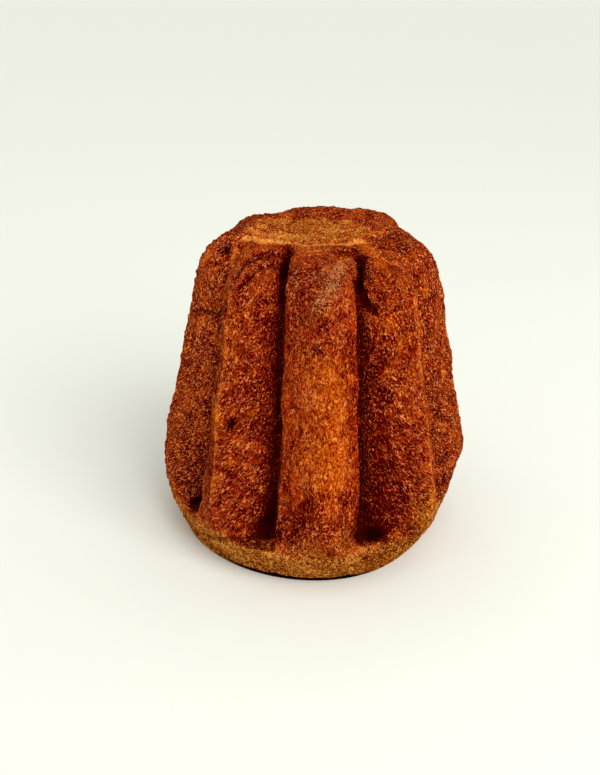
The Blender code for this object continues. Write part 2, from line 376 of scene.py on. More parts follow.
# Pale, dull patches and lines on the shoulders: dry dust, and a painted sheen where they catch the light
DUST_AND_SHEEN = (
    (((-36, -44, 190), (-42, -48, 187), (-47, -54, 183)), 1.1, 0.9),
    (((-38, -37, 191), (-45, -44, 188), (-50, -51, 184)), 1.0, 0.8),
    (((10, -41, 191), (8, -50, 189), (6, -60, 186)), 4, 0.4),
    (((11, -44, 190), (10, -55, 187), (7, -64, 184)), 1.3, 0.5),
    (((4, -66, 184), (1, -71, 181), (-1, -76, 176)), 5, 0.8),
    (((-4, -60, 187), (1, -57, 188)), 5, 0.35),
    (((-16, -54, 188), (-13, -62, 185)), 1.1, 0.7),
    (((-16, -60, 184), (-13, -65, 182)), 1.1, 0.7),
)
FLUSHED = (
    (((-20, -64, 165), (-18, -70, 152), (-17, -76, 118), (-17, -81, 80), (-13, -89, 58)), 7, 0.95),
    (((-10, -77, 155), (-8, -83, 121), (-6, -88, 85), (-5, -93, 61)), 5, 0.35),
    (((17, -64, 176), (20, -67, 153), (22, -74, 118), (24, -80, 82), (25, -84, 57)), 5, 0.9),
)
TANNED = (
    (((74, -69, 42), (72, -67, 32), (69, -61, 18)), 10, 1.0),
    (((-6, -102, 27), (16, -102, 30), (24, -97, 34)), 9, 0.5),
)


# Shape

def smooth_step(low, high, value):
    """Rise from 0 to 1 between low and high."""
    share = np.clip((value - low) / (high - low), 0.0, 1.0)
    return share * share * (3.0 - 2.0 * share)


def ridge_radius(height):
    """Radius of a ridge's edge on the straight taper above the rim."""
    return RIM_RADIUS - TAPER * (height - RIM_HEIGHT)


def profile():
    """List each ring from the foot to the top: height, ridge radius, groove cut, share of swell."""
    rings = []
    for step in range(BAND_RINGS):
        share = (step / BAND_RINGS) ** BAND_SPACING
        height = RIM_HEIGHT * share
        radius = FOOT_RADIUS + (RIM_RADIUS - FOOT_RADIUS) * max(share, TOE_HEIGHT / RIM_HEIGHT) ** BAND_BULGE
        rings.append((height, radius, GROOVE_CUT * smooth_step(*LEDGE, height), 0.0))
    for step in range(FLUTE_RINGS):
        height = RIM_HEIGHT + (SHOULDER_HEIGHT - RIM_HEIGHT) * step / FLUTE_RINGS
        rings.append((height, ridge_radius(height), GROOVE_CUT, 0.0))
    for step in range(SHOULDER_RINGS + 1):
        turn = SHOULDER_TURN * step / SHOULDER_RINGS
        height = SHOULDER_HEIGHT + (HEIGHT - SHOULDER_HEIGHT) * math.sin(turn) / math.sin(SHOULDER_TURN)
        fade = (math.cos(turn) - math.cos(SHOULDER_TURN)) / (1.0 - math.cos(SHOULDER_TURN))
        radius = TOP_RADIUS + (ridge_radius(SHOULDER_HEIGHT) - TOP_RADIUS) * fade
        cut = TOP_CUT + (GROOVE_CUT - TOP_CUT) * math.sqrt(fade)
        rings.append((height, radius, cut, 4.0 * fade * (1.0 - fade)))
    for step in range(1, TOP_RINGS):
        share = 1.0 - step / TOP_RINGS
        height = HEIGHT - DISH_DEPTH * (1.0 - share * share)
        rings.append((height, TOP_RADIUS * share, TOP_CUT * share, 0.0))
    return rings


def lobe(ridge, across):
    """Shape of one ridge's section: 1 on its edge, 0 in the grooves beside it."""
    offset = min(1.0, abs(across))
    softness = EDGE_SOFTNESS[ridge]
    fall = math.hypot(offset, softness) - softness
    flank = 1.0 - fall / (math.hypot(1.0, softness) - softness)
    slit = SLIT_SHARE[ridge if across > 0.0 else ridge - 1]
    return (1.0 - slit) * flank + slit * (1.0 - smooth_step(*SLIT, offset))


def reach(ridge, height):
    """How far one ridge stands out at a height, as a share of the even star."""
    return REACH_LOW[ridge] + (REACH_TOP[ridge] - REACH_LOW[ridge]) * height / HEIGHT


def middle_of(ridge):
    """Direction of a ridge's edge, from the front one anticlockwise."""
    return 2.0 * ridge * math.pi / RIDGES + RIDGE_TURN[ridge % RIDGES]


def groove_after(ridge, height):
    """Direction of the groove on the anticlockwise side of a ridge, at a height."""
    low, top = GROOVE_TURN_LOW[ridge % RIDGES], GROOVE_TURN_TOP[ridge % RIDGES]
    return (2.0 * ridge + 1.0) * math.pi / RIDGES + low + (top - low) * height / HEIGHT


def lean(height):
    """How far the loaf's axis stands to one side at a height."""
    rise = np.clip((height - RIM_HEIGHT) / (HEIGHT - RIM_HEIGHT), 0.0, None)
    high = smooth_step(0.5 * (SHOULDER_HEIGHT + HEIGHT), HEIGHT, height)
    low = 1.0 - smooth_step(*FOOT_BLEND, height)
    return (LEAN * rise ** LEAN_CURVE + FOOT_SHIFT[0] * low + TOP_SHIFT[0] * high,
            FOOT_SHIFT[1] * low + TOP_SHIFT[1] * high)


def place(ridge, across, height, radius, cut, swell):
    """Place one point of the crust: across runs from -1 to 1 over its ridge."""
    groove = groove_after(ridge if across > 0.0 else ridge - 1, height)
    turn = FRONT_TURN + middle_of(ridge) + (groove - middle_of(ridge)) * abs(across)
    beside = 0.5 * abs(across)
    neighbour = (ridge + (1 if across > 0.0 else -1)) % RIDGES
    stretch = reach(ridge, height) * (1.0 - beside) + reach(neighbour, height) * beside
    fullness = SHOULDER_SWELL[ridge] * (1.0 - beside) + SHOULDER_SWELL[neighbour] * beside
    low = 1.0 - smooth_step(*FOOT_BLEND, height)
    stretch += (1.0 - stretch) * 0.5 * low
    away = (turn - DRAWN_SIDE + math.pi) % (2.0 * math.pi) - math.pi
    stretch *= 1.0 - DRAWN_IN * math.exp(-(away / DRAWN_WIDTH) ** 2) * low
    length = (radius * stretch + fullness * swell) * (1.0 - cut * (1.0 - lobe(ridge, across)))
    axis_x, axis_y = lean(height)
    x = length * math.sin(turn) + axis_x
    y = -length * math.cos(turn) + axis_y
    below = min(1.0, height / RIM_HEIGHT)
    rim_lift = RIM_TILT * y * below * (1.0 - smooth_step(RIM_HEIGHT, RIM_BLEND, height))
    rise = TOP_TILT * y
    for lump_x, lump_y, lump_radius, lump in LUMPS:
        away = math.dist((x, y), (lump_x * MM, lump_y * MM)) / (lump_radius * MM)
        rise += lump * MM * math.exp(-away ** 2)
    return x, y, height + rim_lift + rise * smooth_step(SHOULDER_HEIGHT, HEIGHT, height)


# Modelling with edit tools

def edit(piece, select_mode="VERT"):
    """Open a piece for editing, with nothing selected."""
    bpy.context.view_layer.objects.active = piece
    bpy.ops.object.mode_set(mode="EDIT")
    bpy.ops.mesh.select_mode(type=select_mode)
    bpy.ops.mesh.select_all(action="DESELECT")


def leave():
    """Close the piece that is being edited."""
    bpy.ops.object.mode_set(mode="OBJECT")


def points_of(piece):
    """Return a piece's vertices as an array."""
    points = np.empty(3 * len(piece.data.vertices), np.float32)
    piece.data.vertices.foreach_get("co", points)
    return points.reshape(-1, 3)


def pick(piece, chosen):
    """Open a piece for editing with the chosen vertices selected."""
    edit(piece)
    leave()
    piece.data.vertices.foreach_set("select", chosen)
    bpy.ops.object.mode_set(mode="EDIT")


def raise_rings(rings):
    """Extrude a round foot upwards, ring by ring, and close the top."""
    bpy.ops.object.select_all(action="DESELECT")
    bpy.ops.mesh.primitive_circle_add(vertices=COLUMNS, radius=FOOT_RADIUS, fill_type="NGON")
    crust = bpy.context.object
    crust.name = crust.data.name = "crust"
    edit(crust, "FACE")
    bpy.ops.mesh.select_all(action="SELECT")
    for below, here in zip(rings, rings[1:]):
        bpy.ops.mesh.extrude_region_move(TRANSFORM_OT_translate={"value": (0.0, 0.0, here[0] - below[0])})
        growth = here[1] / below[1]
        bpy.ops.transform.resize(value=(growth, growth, 1.0), center_override=(0.0, 0.0, 0.0))
    bpy.ops.mesh.poke()
    leave()
    return crust


def press_star(crust, rings, columns):
    """Press the round rings into the star, column by column."""
    points = points_of(crust)
    for number, section in enumerate(rings):
        for index in range(number * COLUMNS, (number + 1) * COLUMNS):
            ridge, step = divmod(int(columns[index]), STEPS_PER_RIDGE)
            share = 2.0 * step / STEPS_PER_RIDGE - 1.0
            offset = 1.0 - (1.0 - abs(share)) ** COLUMN_SPACING
            points[index] = place(ridge, math.copysign(offset, share), *section)
    last = points[(len(rings) - 1) * COLUMNS:len(rings) * COLUMNS]
    points[-1] = last.mean(axis=0)
    crust.data.vertices.foreach_set("co", points.ravel())


def columns_of(crust):
    """Number the cage's columns, anticlockwise from the groove before the front ridge."""
    points = points_of(crust)
    turns = np.arctan2(points[:, 0], -points[:, 1]) / (2.0 * math.pi) * COLUMNS
    return np.rint(turns + STEPS_PER_RIDGE / 2).astype(int) % COLUMNS


def fluted_part(columns):
    """Tell which of the cage's points are on the flutes, above the band."""
    rings = np.arange(len(columns)) // COLUMNS
    return (rings >= BAND_RINGS) & (rings < CREST_RINGS)


def crease(crust, chosen, sharpness):
    """Crease the edges between the chosen points."""
    pick(crust, chosen)
    bpy.ops.transform.edge_crease(value=sharpness)
    leave()


def sharpen_crests(crust, columns):
    """Crease each ridge's edge, by as much as it stays crisp."""
    for ridge, sharpness in enumerate(CREST_CREASE):
        edge_column = ridge * STEPS_PER_RIDGE + STEPS_PER_RIDGE // 2
        crease(crust, (columns == edge_column) & fluted_part(columns), sharpness)


def sharpen_walls(crust, columns):
    """Crease the brink of the walls on both sides of the front ridge."""
    for brink in WALL_COLUMNS:
        crease(crust, (columns == brink) & fluted_part(columns), WALL_CREASE)


def smooth_crust(crust):
    """Hold the foot's edge with an inset, then subdivide."""
    edit(crust, "FACE")
    leave()
    for face in crust.data.polygons:
        face.select = len(face.vertices) == COLUMNS
    bpy.ops.object.mode_set(mode="EDIT")
    bpy.ops.mesh.inset(thickness=FOOT_INSET, use_boundary=True)
    bpy.ops.mesh.select_all(action="SELECT")
    bpy.ops.mesh.normals_make_consistent(inside=False)
    leave()
    smoother = crust.modifiers.new("smoothing", "SUBSURF")
    smoother.levels = smoother.render_levels = SMOOTHING
    bpy.ops.object.modifier_apply(modifier=smoother.name)


def nearest(points, spot):
    """Find the vertex that lies nearest to a spot given in millimetres."""
    return int(((points - np.multiply(spot, MM)) ** 2).sum(axis=1).argmin())


def work(crust, path, depth, width, falloff):
    """Press a crease or pit into the crust along a path, or with a negative depth raise a fold."""
    points = points_of(crust)
    chosen = np.zeros(len(points), bool)
    if len(path) == 1:
        chosen[nearest(points, path[0])] = True
    for start, end in zip(path, path[1:]):
        steps = max(2, round(math.dist(start, end) / STROKE_STEP))
        for step in range(steps + 1):
            spot = [a + (b - a) * step / steps for a, b in zip(start, end)]
            chosen[nearest(points, spot)] = True
    pick(crust, chosen)
    bpy.ops.transform.shrink_fatten(value=-depth * MM, use_proportional_edit=True,
                                    proportional_edit_falloff=falloff, proportional_size=width * MM)
    leave()


def work_crust(crust):
    """Give the crust its cracks, folds, pits and swellings."""
    for path, depth, width, falloff in STROKES:
        work(crust, path, depth, width, falloff)


def fill_stops(elements, stops):
    """Set a colour ramp's stops."""
    while len(elements) < len(stops):
        elements.new(0.5)
    for element, (position, colour) in zip(elements, stops):
        element.position = position
        element.color = paint(colour)


class Wire:
    """An output socket of a node tree, so that node maths is written as sums."""

    def __init__(self, tree, socket=None):
        self.tree = tree
        self.socket = socket

    def node(self, kind, settings=(), inputs=(), output=0):
        """Add a node: its settings first, then the values or links of its sockets."""
        made = self.tree.nodes.new(kind)
        for name, value in dict(settings).items():
            if name == "stops":
                fill_stops(made.color_ramp.elements, value)
            else:
                setattr(made, name, value)
        for name, value in dict(inputs).items():
            if isinstance(value, Wire):
                self.tree.links.new(value.socket, made.inputs[name])
            else:
                made.inputs[name].default_value = value
        return Wire(self.tree, made.outputs[output])

    def math(self, operation, *values):
        """Add a Math node."""
        return self.node("ShaderNodeMath", {"operation": operation}, dict(enumerate(values)))

    def __add__(self, other):
        return self.math("ADD", self, other)

    def __radd__(self, other):
        return self.math("ADD", other, self)

    def __sub__(self, other):
        return self.math("SUBTRACT", self, other)

    def __rsub__(self, other):
        return self.math("SUBTRACT", other, self)

    def __mul__(self, other):
        return self.math("MULTIPLY", self, other)

    def absolute(self):
        """Distance from zero."""
        return self.math("ABSOLUTE", self)

    def clamped(self):
        """Kept between 0 and 1."""
        return self.math("MINIMUM", self.math("MAXIMUM", self, 0.0), 1.0)

    def between(self, low, high):
        """Rise smoothly from 0 to 1 between low and high."""
        return self.node("ShaderNodeMapRange", {"interpolation_type": "SMOOTHSTEP"},
                         {"Value": self, "From Min": low, "From Max": high})

    def moved(self, offset, operation="ADD"):
        """Add to a vector, or scale it part by part."""
        return self.node("ShaderNodeVectorMath", {"operation": operation}, {0: self, 1: offset})

    def scaled(self, factor):
        """Scale a vector."""
        return self.node("ShaderNodeVectorMath", {"operation": "SCALE"}, {0: self, "Scale": factor})

    def part(self, axis):
        """One coordinate of a vector."""
        return self.node("ShaderNodeSeparateXYZ", (), {0: self}, axis)

    def noise(self, size, detail=1.0, output=0):
        """Smooth noise from 0 to 1, with lumps of about a size: output 0 is a number, 1 a colour."""
        return self.node("ShaderNodeTexNoise", (), {"Vector": self, "Scale": 1.0 / size, "Detail": detail},
                         output)

    def ripple(self, size, detail=1.0):
        """Noise that swings about 0, up to a half each way."""
        return self.noise(size, detail) - 0.5

    def drift(self, size, distance):
        """Noise that points every way, up to about a distance."""
        return self.noise(size, output=1).moved((-0.5, -0.5, -0.5)).scaled(distance * 2.0)

    def ramp(self, stops):
        """Read a colour from a row of stops."""
        return self.node("ShaderNodeValToRGB", {"stops": stops}, {0: self})

    def blended(self, other, factor, blend="MIX"):
        """Blend a colour over this one."""
        return self.node("ShaderNodeMix", {"data_type": "RGBA", "blend_type": blend},
                         {0: factor, 6: self, 7: other}, 2)


def threads(place, size):
    """Thin raised threads, where smooth noise crosses its middle."""
    bend_size, bend_reach = THREAD_BEND
    bent = place.moved(place.drift(bend_size * size, bend_reach * size))
    return (1.0 - bent.ripple(size).absolute() * THREAD_SHARPNESS).clamped()


def store(piece, name, values, domain="POINT", kind="FLOAT"):
    """Keep an attribute on a piece's mesh."""
    kept = piece.data.attributes.new(name, kind, domain)
    kept.data.foreach_set("value" if kind == "FLOAT" else "vector", np.asarray(values, np.float32).ravel())


def lie(points):
    """Tell where points lie on the star: the ridge, the side of its edge, and the share of its flank."""
    heights = points[:, 2]
    axis_x, axis_y = lean(heights)
    turns = np.arctan2(points[:, 0] - axis_x, -(points[:, 1] - axis_y)) - FRONT_TURN
    grooves = np.stack([groove_after(ridge, heights) for ridge in range(-1, RIDGES)])
    turns = (turns - grooves[0]) % (2.0 * math.pi) + grooves[0]
    ridges = (turns > grooves[1:-1]).sum(axis=0)
    middles = np.array([middle_of(ridge) for ridge in range(RIDGES)])[ridges]
    before = np.take_along_axis(grooves, ridges[None], 0)[0]
    after = np.take_along_axis(grooves, ridges[None] + 1, 0)[0]
    sides = np.where(turns > middles, 1.0, -1.0)
    ends = np.where(sides > 0.0, after, before)
    return ridges, sides, np.clip((turns - middles) / (ends - middles), 0.0, 1.0)


def mark_flow(crust):
    """Keep, on each face's corners, a place in which the crust's wrinkles run straight up.

    The loaf is untwisted flank by flank, so that wrinkles that climb towards a groove stand
    upright, and squeezed in height where they are long.
    """
    mesh = crust.data
    points = points_of(crust)
    corners = np.empty(len(mesh.loops), np.int32)
    mesh.loops.foreach_get("vertex_index", corners)
    totals = np.empty(len(mesh.polygons), np.int32)
    mesh.polygons.foreach_get("loop_total", totals)
    centres = np.empty(3 * len(mesh.polygons), np.float32)
    mesh.polygons.foreach_get("center", centres)
    ridges, sides, _ = lie(centres.reshape(-1, 3))
    slants = np.repeat(np.array(WRINKLE_SLANT)[ridges] * sides, totals)
    lengths = np.repeat(np.array(WRINKLE_LENGTH)[ridges], totals)
    corner = points[corners].astype(float)
    x, y, height = corner.T
    above = SLANT_BLEND * np.log1p(np.exp((height - SLANT_TOP) / SLANT_BLEND))
    below = BAND_BLEND * np.log1p(np.exp((BAND_TOP - height) / BAND_BLEND))
    fluted = height - above + below
    turn = -slants * (fluted - RIM_HEIGHT) / (FLANK_RADIUS * ridge_radius(height))
    squeezed = fluted / lengths + above / TOP_LENGTH - below / BAND_LENGTH
    across = x * np.cos(turn) - y * np.sin(turn)
    inward = x * np.sin(turn) + y * np.cos(turn)
    store(crust, "flow", np.stack((across, inward, squeezed), axis=1), "CORNER", "FLOAT_VECTOR")


def cavity(crust, rounds):
    """Tell how deep each point lies below its surroundings, in millimetres; higher ones are negative."""
    points = points_of(crust).astype(float)
    ends = np.empty(2 * len(crust.data.edges), np.int32)
    crust.data.edges.foreach_get("vertices", ends)
    first, second = ends.reshape(-1, 2).T
    count = np.bincount(ends, minlength=len(points))[:, None]
    normals = np.empty(3 * len(points), np.float32)
    crust.data.vertices.foreach_get("normal", normals)
    around = points.copy()
    for _ in range(rounds):
        sums = [np.bincount(first, part[second], len(points)) + np.bincount(second, part[first], len(points))
                for part in around.T]
        around = np.stack(sums, axis=1) / count
    return ((around - points) * normals.reshape(-1, 3)).sum(axis=1) / MM


def dabbed(points, dabs):
    """Add up soft dabs: each has its path, its radius and its strength."""
    total = np.zeros(len(points))
    for path, radius, strength in dabs:
        spots = np.multiply(path, MM)
        away = ((points - spots[0]) ** 2).sum(axis=1)
        for start, end in zip(spots, spots[1:]):
            along = np.clip(((points - start) @ (end - start)) / ((end - start) ** 2).sum(), 0.0, 1.0)
            away = np.minimum(away, ((points - start - along[:, None] * (end - start)) ** 2).sum(axis=1))
        total += strength * np.exp(-away / (radius * MM) ** 2)
    return total


def by_flank(pairs, ridges, sides):
    """Read a row of pairs: a number for each flank of each ridge."""
    table = np.array(pairs)
    return np.where(sides > 0.0, table[ridges, 1], table[ridges, 0])


def mark_ridges(crust):
    """Keep what differs from ridge to ridge: liveliness, painted light on its side, gold, and the tones of
    flank and edge.
    """
    points = points_of(crust)
    heights = points[:, 2]
    ridges, sides, from_edge = lie(points)
    store(crust, "from_edge", from_edge)
    store(crust, "vigour", np.array(VIGOUR)[ridges])
    store(crust, "glow", np.array(PAINTED_SIDE_LIGHT)[ridges])
    store(crust, "golden", dabbed(points, GOLDEN) + np.array(RIDGE_GOLD)[ridges])
    store(crust, "flank", by_flank(FLANK_TONE, ridges, sides) * smooth_step(*FLANK_START, from_edge))
    crests = np.array(CREST_TONE)[ridges] * (1.0 - smooth_step(*CREST_WIDTH, from_edge))
    crests *= smooth_step(*CREST_START, heights) * (1.0 - smooth_step(*CREST_END, heights))
    store(crust, "crest", crests)


def mark_grooves(crust):
    """Keep how dark each groove is, as painted shade on the flank beside it, and how far its slit reaches
    over the flank.
    """
    points = points_of(crust)
    ridges, sides, from_edge = lie(points)
    beside = (ridges == 1) & (sides < 0.0) | (ridges == 0) & (sides > 0.0)
    opened = (1.0 - smooth_step(*OPEN_END, points[:, 2])) * beside
    slits = by_flank(SLIT_TONE, ridges, sides) - OPEN_SLIT * opened
    store(crust, "slit", from_edge * slits)
    shades = smooth_step(*SHADE_START, from_edge) * by_flank(GROOVE_SHADE, ridges, sides)
    store(crust, "shade", shades * (1.0 - OPEN_SHADE * opened))


def mark_top(crust):
    """Keep how far each place lies from the middle of the top."""
    points = points_of(crust)
    from_top = np.hypot(*((points[:, axis] - TOP_MIDDLE[axis]) / TOP_SPREAD[axis] for axis in (0, 1)))
    store(crust, "from_top", np.where(points[:, 2] > SHOULDER_HEIGHT, from_top, OFF_TOP))


def mark_dabs(crust):
    """Keep the soft dabs of tone."""
    points = points_of(crust)
    dabs = {"burnt": BURNT_AND_SHADED, "pale": PALE, "dusty": DUST_AND_SHEEN, "tanned": TANNED, "flushed": FLUSHED}
    for name, row in dabs.items():
        store(crust, name, dabbed(points, row))


def mark_hollows(crust):
    """Keep how deep each place lies: in small hollows, and in wide pockets."""
    store(crust, "hollow", np.clip(cavity(crust, HOLLOW_ROUNDS), *HOLLOW_LIMITS))
    store(crust, "pocket", np.clip(cavity(crust, POCKET_ROUNDS), *POCKET_LIMITS))


def raise_relief(crust):
    """Give the crust its unevenness and its wrinkles."""
    tree = bpy.data.node_groups.new("crust relief", "GeometryNodeTree")
    tree.interface.new_socket("Geometry", in_out="INPUT", socket_type="NodeSocketGeometry")
    tree.interface.new_socket("Geometry", in_out="OUTPUT", socket_type="NodeSocketGeometry")
    start = Wire(tree)
    shape = start.node("NodeGroupInput")
    rest = start.node("GeometryNodeInputPosition")
    normal = start.node("GeometryNodeInputNormal")
    flow = start.node("GeometryNodeInputNamedAttribute", {"data_type": "FLOAT_VECTOR"}, {"Name": "flow"})
    from_edge = start.node("GeometryNodeInputNamedAttribute", {"data_type": "FLOAT"}, {"Name": "from_edge"})
    shape = start.node("GeometryNodeStoreNamedAttribute", {"data_type": "FLOAT_VECTOR", "domain": "POINT"},
                       {"Geometry": shape, "Name": "rest", "Value": rest})
    free = rest.part(2).between(0.0, FOOT_HOLD)
    drift = rest.drift(WANDER_SIZE, free * WANDER)
    swell = rest.ripple(SWELL_SIZE, 0.0) * (2.0 * SWELL)
    lumps = rest.ripple(LUMP_SIZE) * (2.0 * LUMP)
    open_skin = 1.0 - from_edge.between(*OPEN_SKIN) * GROOVE_CALM
    wrinkles = (threads(flow, WRINKLE_SIZE) - 0.5) * (2.0 * WRINKLE) * open_skin
    grain = rest.ripple(GRAIN_SIZE) * (2.0 * GRAIN)
    height = (swell + lumps + wrinkles + grain) * free
    shape = start.node("GeometryNodeSetPosition", (),
                       {"Geometry": shape, "Offset": normal.scaled(height).moved(drift)})
    end = tree.nodes.new("NodeGroupOutput")
    tree.links.new(shape.socket, end.inputs[0])
    relief = crust.modifiers.new("relief", "NODES")
    relief.node_group = tree
    bpy.context.view_layer.objects.active = crust
    bpy.ops.object.modifier_apply(modifier=relief.name)


def make_crust():
    """Make the crust's cage, smooth it, work it with the listed strokes and give it its relief."""
    rings = profile()
    crust = raise_rings(rings)
    columns = columns_of(crust)
    press_star(crust, rings, columns)
    sharpen_crests(crust, columns)
    sharpen_walls(crust, columns)
    smooth_crust(crust)
    work_crust(crust)
    mark_ridges(crust)
    mark_grooves(crust)
    mark_top(crust)
    mark_dabs(crust)
    mark_flow(crust)
    raise_relief(crust)
    mark_hollows(crust)
    crust.data.shade_smooth()
    return crust


# Finish

BRIGHTNESS = 0.92              # suits every colour to the lamps


def paint(colour):
    """Turn a painter's colour, 0 to 255, into the shader's own scale, allowing for the lamps."""
    parts = [part / 255.0 for part in colour]
    linear = [((part + 0.055) / 1.055) ** 2.4 if part > 0.04045 else part / 12.92 for part in parts]
    return tuple(BRIGHTNESS * part for part in linear) + (1.0,)


# Colours for a tone, from dark to light
FLANK_COLOURS = ((0.0, (56, 0, 0)), (0.25, (104, 12, 1)), (0.5, (138, 35, 6)), (0.75, (168, 62, 20)),
                 (1.0, (212, 116, 68)))
RUDDY_COLOURS = ((0.0, (56, 0, 1)), (0.25, (104, 8, 2)), (0.5, (141, 28, 5)), (0.75, (173, 55, 13)),
                 (1.0, (212, 98, 50)))
GOLDEN_COLOURS = ((0.0, (108, 12, 0)), (0.25, (150, 42, 0)), (0.5, (180, 72, 5)), (0.75, (204, 98, 20)),
                  (1.0, (236, 136, 56)))
TAN_COLOURS = ((0.0, (92, 22, 0)), (0.25, (136, 57, 4)), (0.5, (168, 90, 14)), (0.75, (194, 114, 32)),
               (1.0, (230, 154, 76)))
# dust, and painted sheen on the shoulders
DUST_AND_SHEEN_COLOURS = ((0.0, (92, 18, 2)), (0.25, (130, 51, 16)), (0.5, (160, 84, 38)), (0.75, (188, 114, 62)),
                 (1.0, (218, 144, 92)))
# the slits: darker-baked crust with painted shade in the grooves
SLIT_COLOURS = ((0.0, (58, 2, 1)), (0.25, (92, 9, 3)), (0.5, (124, 22, 5)), (0.75, (156, 46, 11)),
                (1.0, (196, 82, 30)))
# near-black: charred crust, and painted shadow in cracks, holes and pits
CHAR_AND_SHADOW_COLOUR = (30, 4, 2)
# painted shadow at the foot's edge
FOOT_SHADOW_COLOUR = (22, 6, 1)
FLUSH = (1.0, 0.72, 0.42, 1.0)   # multiplies the colour under it, and reddens it
MARKS = ("burnt", "golden", "pale", "dusty", "tanned", "flushed", "flank", "crest", "vigour", "glow", "slit",
         "shade", "from_top", "hollow", "pocket")


def read_marks(tree):
    """Read what is kept on the mesh: a number for each mark, the place at rest and the place in the flow."""
    start = Wire(tree)

    def kept(name, output):
        """Read one of them: output 1 is a place, 2 a number."""
        return start.node("ShaderNodeAttribute", {"attribute_name": name}, (), output)

    skin = SimpleNamespace(**{name: kept(name, 2) for name in MARKS})
    skin.rest = kept("rest", 1)
    skin.flow = kept("flow", 1)
    return skin


def find_zones(skin):
    """Tell where the band, the top and the flutes are, with ragged borders."""
    skin.height = skin.rest.part(2)
    skin.ragged = skin.rest.ripple(RAGGED_SIZE, RAGGED_DETAIL)
    skin.band = 1.0 - (skin.height + skin.ragged * BAND_RAGGED).between(*BAND_EDGE)
    skin.plateau = 1.0 - (skin.from_top + skin.ragged * TOP_RAGGED).between(*TOP_EDGE)
    skin.fluted = skin.height.between(*FLUTES_START) * (1.0 - skin.height.between(*FLUTES_END))


def add_grain(skin):
    """Make the fine grain: threads, specks and pits, and the tone that they give together."""
    grained = skin.flow.moved(GRAIN_STRETCH, "MULTIPLY")
    skin.thread = threads(grained, THREAD_SIZE)
    skin.speck = grained.ripple(SPECK_SIZE)
    skin.pits = skin.flow.moved(PIT_PLACE).ripple(PIT_SIZE)
    bundles = threads(skin.flow, WRINKLE_SIZE)
    change = skin.rest.moved(CHANGE_PLACE).ripple(CHANGE_SIZE)
    lively = (LIVELY + change * LIVELY_CHANGE) * skin.vigour
    grain = GRAIN_MIDDLE + (skin.thread - THREAD_MIDDLE) * lively + (bundles - BUNDLE_MIDDLE) * BUNDLE
    grain += skin.speck * (SPECK + skin.plateau * SPECK_ON_TOP + skin.band * SPECK_ON_BAND)
    skin.grain = grain + skin.pits * (PIT + skin.band * PIT_ON_BAND)


def add_tone(skin):
    """Tell how light the crust is, from 0 to 1, with painted shade in hollows, pockets and grooves."""
    wide = skin.rest.ripple(WIDE_SIZE)
    skin.patch = skin.rest.moved(PATCH_PLACE).ripple(PATCH_SIZE, PATCH_DETAIL)
    tone = skin.grain + wide * WIDE + skin.patch * (PATCH + skin.plateau * PATCH_ON_TOP)
    # Painted shade: the burnt-and-shaded dabs, hollows, pockets and the flanks beside the grooves are
    # darkened; rises come out a little lighter
    tone = tone + skin.flank + skin.crest + skin.pale - skin.burnt * BURNT_AND_SHADED_DARK
    tone = tone + skin.plateau * TOP_LIGHT - skin.band * BAND_DARK
    tone = tone - skin.hollow * HOLLOW_DARK - skin.pocket * POCKET_DARK
    skin.tone = (tone - skin.shade * skin.fluted).clamped()


def skin_colour(skin):
    """Choose the colour of the skin: ruddy, golden or tan, with tints from patch to patch."""
    fine = skin.flow.moved(TINT_PLACE).ripple(TINT_SIZE)
    tint = skin.patch * TINT_PATCH + fine * TINT_GRAIN
    golden = (skin.golden + skin.plateau * GOLD_ON_TOP + skin.pale * GOLD_ON_PALE
              + skin.crest * GOLD_ON_CREST + tint)
    tan_top = skin.plateau * (tint * TAN_TINT + TAN_ON_TOP)
    tanned = skin.band.math("MAXIMUM", skin.band, tan_top + skin.pale * TAN_ON_PALE + skin.tanned)
    unburnt_unshaded = (UNBURNT_UNSHADED - skin.burnt).clamped()
    colour = skin.tone.ramp(FLANK_COLOURS)
    colour = colour.blended(skin.tone.ramp(RUDDY_COLOURS), (0.0 - golden).clamped())
    colour = colour.blended(skin.tone.ramp(GOLDEN_COLOURS), golden.clamped() * unburnt_unshaded)
    return colour.blended(skin.tone.ramp(TAN_COLOURS), tanned.clamped() * unburnt_unshaded)


def dusted_and_sheened(skin, colour):
    """Lay the pale dust and painted sheen of the shoulders over a colour: a dull, greyish highlight painted
    where they catch the light.
    """
    mottle = skin.flow.moved(DUST_SHEEN_PLACE).noise(DUST_SHEEN_SIZE)
    dusty = skin.dusty * (DUST_SHEEN_LOW + mottle * DUST_SHEEN_CHANGE)
    steep, dark, light = DUST_SHEEN_TONE
    dull = (skin.tone * steep - dark + dusty * light).ramp(DUST_AND_SHEEN_COLOURS)
    return colour.blended(dull, dusty.clamped())


def slitted(skin, colour):
    """Lay the dark red of the slits over a colour: darker-baked crust with painted shade deep in the
    grooves.
    """
    slit = (skin.slit + skin.ragged * SLIT_RAGGED).between(*SLIT_EDGE) * skin.fluted
    from_tone, from_grain, dark = SLIT_MIX
    deep = (skin.tone * from_tone + skin.grain * from_grain - dark).ramp(SLIT_COLOURS)
    return colour.blended(deep, slit)


def with_foot_shadow(skin, colour):
    """Paint shadow on the foot's edge where the loaf meets the floor, fading out towards the loaf's two
    sides.
    """
    across = skin.rest.part(0)
    low = 1.0 - (skin.height + skin.ragged * FOOT_SHADOW_RAGGED).between(*FOOT_SHADOW_EDGE)
    toe = low * across.between(*FOOT_SHADOW_LEFT) * (1.0 - across.between(*FOOT_SHADOW_RIGHT))
    return colour.blended(paint(FOOT_SHADOW_COLOUR), toe)


